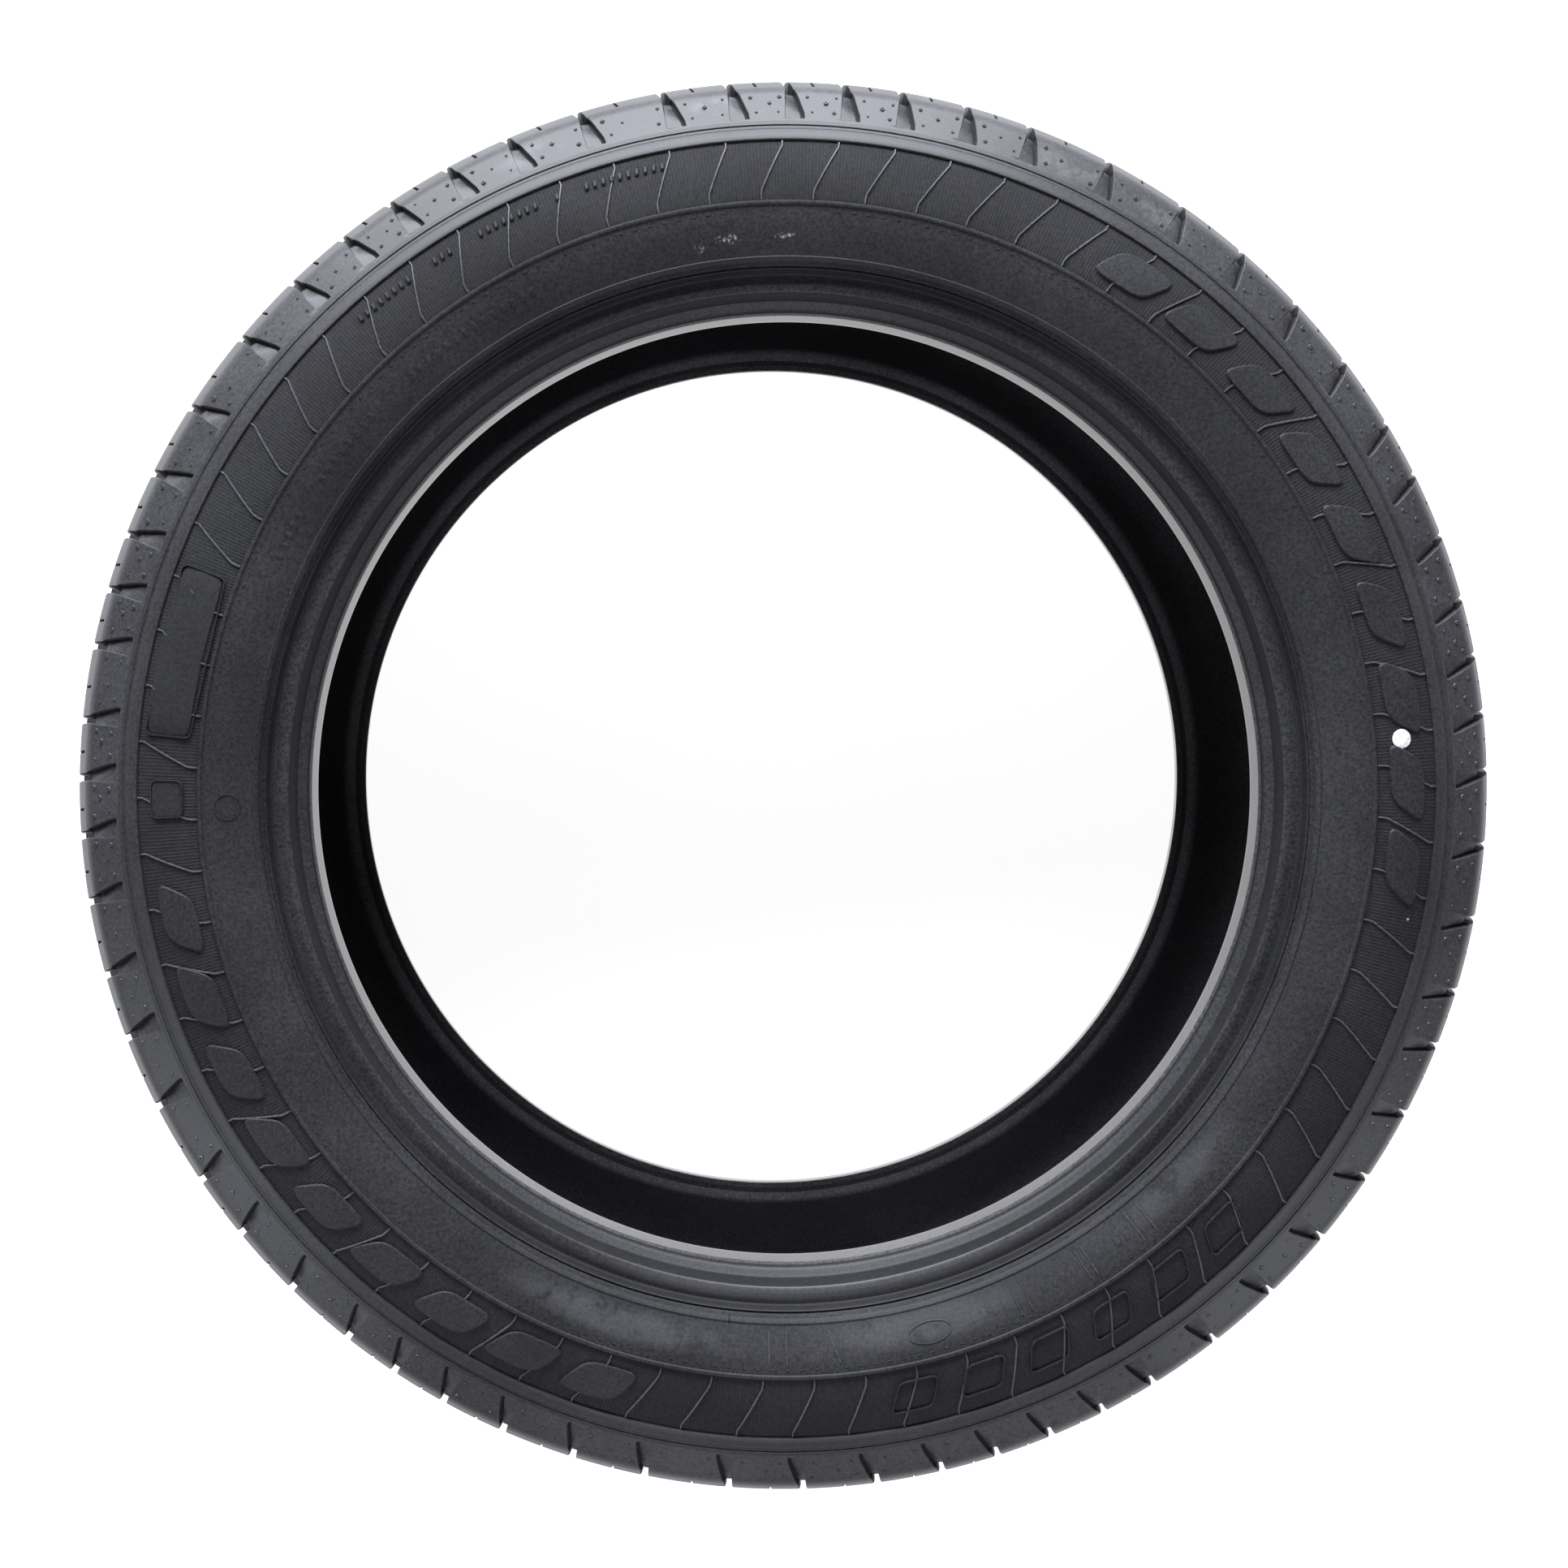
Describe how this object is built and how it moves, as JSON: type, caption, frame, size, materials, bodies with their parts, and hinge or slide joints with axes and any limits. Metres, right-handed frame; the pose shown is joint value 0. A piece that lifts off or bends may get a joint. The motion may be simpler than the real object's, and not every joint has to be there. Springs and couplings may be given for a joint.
{
  "type": "car tyre",
  "caption": "Low-profile road tyre for a passenger car, one vulcanised moulding with ribbed tread, slotted shoulders and a ribbed sidewall band.",
  "frame": {"origin": "centre of the tyre, on its axis and midway between its sidewalls", "axes": "+Z along the tyre's axis out of the sidewall that the picture shows, +Y up and +X right in the picture"},
  "size_m": [0.7019, 0.702, 0.2486],
  "materials": {
    "rubber": "satin moulded rubber with fine ribs, scuffs and light dust"
  },
  "bodies": {
    "root": {"tyre": "rubber"}
  },
  "joints": []
}
